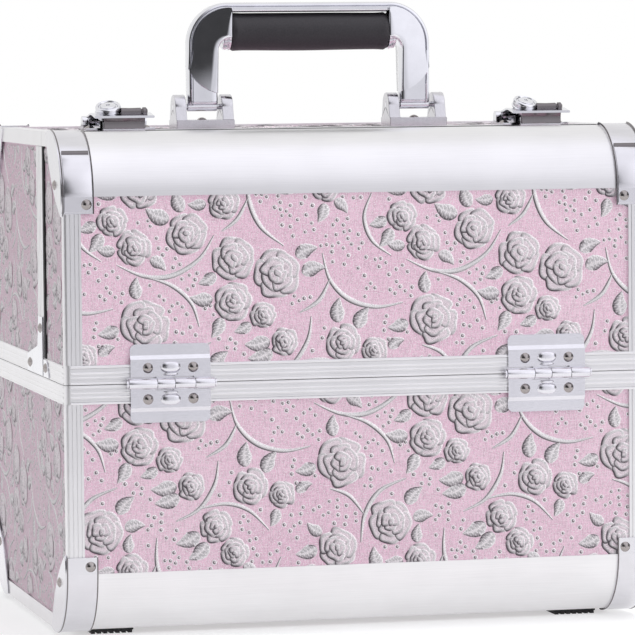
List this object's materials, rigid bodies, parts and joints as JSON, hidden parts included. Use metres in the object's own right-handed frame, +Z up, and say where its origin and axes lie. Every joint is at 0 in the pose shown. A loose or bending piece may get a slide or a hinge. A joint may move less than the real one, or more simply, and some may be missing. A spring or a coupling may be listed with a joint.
{
  "type": "makeup storage case",
  "caption": "Aluminium-framed makeup train case with embossed boards, two lids hinged at front and rear, latches, folding top handle and cantilever trays.",
  "frame": {"origin": "middle of the body's footprint, on the plane that the feet stand on", "axes": "+X along the width, to the right when the front is faced; +Y towards the rear; +Z up"},
  "size_m": [0.3092, 0.2316, 0.322],
  "materials": {
    "covering": "embossed pearly leatherette on board",
    "frame_aluminium": "satin anodised",
    "bright_steel": "polished plating",
    "hinge_steel": "bright nickel",
    "grip_rubber": "soft black",
    "foot_rubber": "matte",
    "seal_rubber": "satin",
    "lining": "short pile",
    "tray_plastic": "moulded"
  },
  "bodies": {
    "base": {"base_front_panel": "covering", "base_rear_panel": "covering", "base_side_panels": "covering", "base_floor_panel": "covering", "base_edge_rolls": "frame_aluminium", "base_edge_profiles": "frame_aluminium", "base_seam_band": "frame_aluminium", "base_corner_caps": "bright_steel", "base_rivets": "bright_steel", "base_lining": "lining", "base_hinge_leaves": "hinge_steel", "hinge_pins": "hinge_steel", "base_arm_pivots": "hinge_steel", "feet": "foot_rubber"},
    "front_lid": {"front_lid_front_panel": "covering", "front_lid_top_panel": "covering", "front_lid_side_panels": "covering", "front_lid_roll": "frame_aluminium", "front_lid_edge_profiles": "frame_aluminium", "front_lid_edge_seal": "seal_rubber", "front_lid_seam_band": "frame_aluminium", "front_lid_corner_caps": "bright_steel", "front_lid_rivets": "bright_steel", "front_lid_seam_plates": "bright_steel", "front_lid_hinge_leaves": "hinge_steel", "front_lid_latch_catches": "bright_steel", "front_lid_lining": "lining", "front_lid_tray_pins": "hinge_steel"},
    "rear_lid": {"rear_lid_rear_panel": "covering", "rear_lid_top_panel": "covering", "rear_lid_side_panels": "covering", "rear_lid_roll": "frame_aluminium", "rear_lid_edge_profiles": "frame_aluminium", "rear_lid_seam_band": "frame_aluminium", "rear_lid_corner_caps": "bright_steel", "rear_lid_rivets": "bright_steel", "rear_lid_seam_plates": "bright_steel", "rear_lid_hinge_leaves": "hinge_steel", "rear_lid_latch_bases": "bright_steel", "rear_lid_lining": "lining", "rear_lid_tray_pins": "hinge_steel", "handle_brackets": "bright_steel", "handle_pins": "bright_steel"},
    "handle": {"handle_frame": "bright_steel", "handle_grip": "grip_rubber"},
    "left_latch": {"left_latch_lever": "bright_steel"},
    "right_latch": {"right_latch_lever": "bright_steel"},
    "front_long_arms": {"front_long_arms": "hinge_steel"},
    "front_short_arms": {"front_short_arms": "hinge_steel"},
    "front_lower_tray": {"front_lower_tray": "tray_plastic", "front_lower_tray_pins": "hinge_steel"},
    "front_upper_tray": {"front_upper_tray": "tray_plastic", "front_upper_tray_pins": "hinge_steel"},
    "rear_long_arms": {"rear_long_arms": "hinge_steel"},
    "rear_short_arms": {"rear_short_arms": "hinge_steel"},
    "rear_lower_tray": {"rear_lower_tray": "tray_plastic", "rear_lower_tray_pins": "hinge_steel"},
    "rear_upper_tray": {"rear_upper_tray": "tray_plastic", "rear_upper_tray_pins": "hinge_steel"}
  },
  "joints": [
    {"name": "front_lid_hinge", "type": "hinge", "parent": "base", "child": "front_lid", "pos_m": [0, -0.113, 0.1302], "axis": [1, 0, 0], "range_deg": [0, 90]},
    {"name": "rear_lid_hinge", "type": "hinge", "parent": "base", "child": "rear_lid", "pos_m": [0, 0.113, 0.1302], "axis": [-1, 0, 0], "range_deg": [0, 90]},
    {"name": "handle_fold", "type": "hinge", "parent": "rear_lid", "child": "handle", "pos_m": [0, -0.002, 0.2672], "axis": [-1, 0, 0], "range_deg": [0, 88]},
    {"name": "left_latch_lever", "type": "hinge", "parent": "rear_lid", "child": "left_latch", "pos_m": [-0.111, -0.032, 0.2606], "axis": [-1, 0, 0], "range_deg": [0, 110]},
    {"name": "right_latch_lever", "type": "hinge", "parent": "rear_lid", "child": "right_latch", "pos_m": [0.111, -0.032, 0.2606], "axis": [-1, 0, 0], "range_deg": [0, 110]},
    {"name": "front_long_arm_swing", "type": "hinge", "parent": "base", "child": "front_long_arms", "pos_m": [0, -0.08, 0.125], "axis": [1, 0, 0], "range_deg": [-1, 91]},
    {"name": "front_short_arm_swing", "type": "hinge", "parent": "base", "child": "front_short_arms", "pos_m": [0, -0.04, 0.125], "axis": [1, 0, 0], "range_deg": [-1, 91]},
    {"name": "front_lower_tray_level", "type": "hinge", "parent": "front_long_arms", "child": "front_lower_tray", "pos_m": [0, -0.05537, 0.15394], "axis": [1, 0, 0], "range_deg": [-91, 1]},
    {"name": "front_upper_tray_level", "type": "hinge", "parent": "front_long_arms", "child": "front_upper_tray", "pos_m": [0, -0.02426, 0.19049], "axis": [1, 0, 0], "range_deg": [-91, 1]},
    {"name": "rear_long_arm_swing", "type": "hinge", "parent": "base", "child": "rear_long_arms", "pos_m": [0, 0.08, 0.125], "axis": [-1, 0, 0], "range_deg": [-1, 91]},
    {"name": "rear_short_arm_swing", "type": "hinge", "parent": "base", "child": "rear_short_arms", "pos_m": [0, 0.04, 0.125], "axis": [-1, 0, 0], "range_deg": [-1, 91]},
    {"name": "rear_lower_tray_level", "type": "hinge", "parent": "rear_long_arms", "child": "rear_lower_tray", "pos_m": [0, 0.05537, 0.15394], "axis": [-1, 0, 0], "range_deg": [-91, 1]},
    {"name": "rear_upper_tray_level", "type": "hinge", "parent": "rear_long_arms", "child": "rear_upper_tray", "pos_m": [0, 0.02426, 0.19049], "axis": [-1, 0, 0], "range_deg": [-91, 1]}
  ],
  "couplings": [
    {"joint": "front_long_arm_swing", "follows": "front_lid_hinge", "ratio": 1},
    {"joint": "front_short_arm_swing", "follows": "front_lid_hinge", "ratio": 1},
    {"joint": "front_lower_tray_level", "follows": "front_lid_hinge", "ratio": -1},
    {"joint": "front_upper_tray_level", "follows": "front_lid_hinge", "ratio": -1},
    {"joint": "rear_long_arm_swing", "follows": "rear_lid_hinge", "ratio": 1},
    {"joint": "rear_short_arm_swing", "follows": "rear_lid_hinge", "ratio": 1},
    {"joint": "rear_lower_tray_level", "follows": "rear_lid_hinge", "ratio": -1},
    {"joint": "rear_upper_tray_level", "follows": "rear_lid_hinge", "ratio": -1}
  ]
}
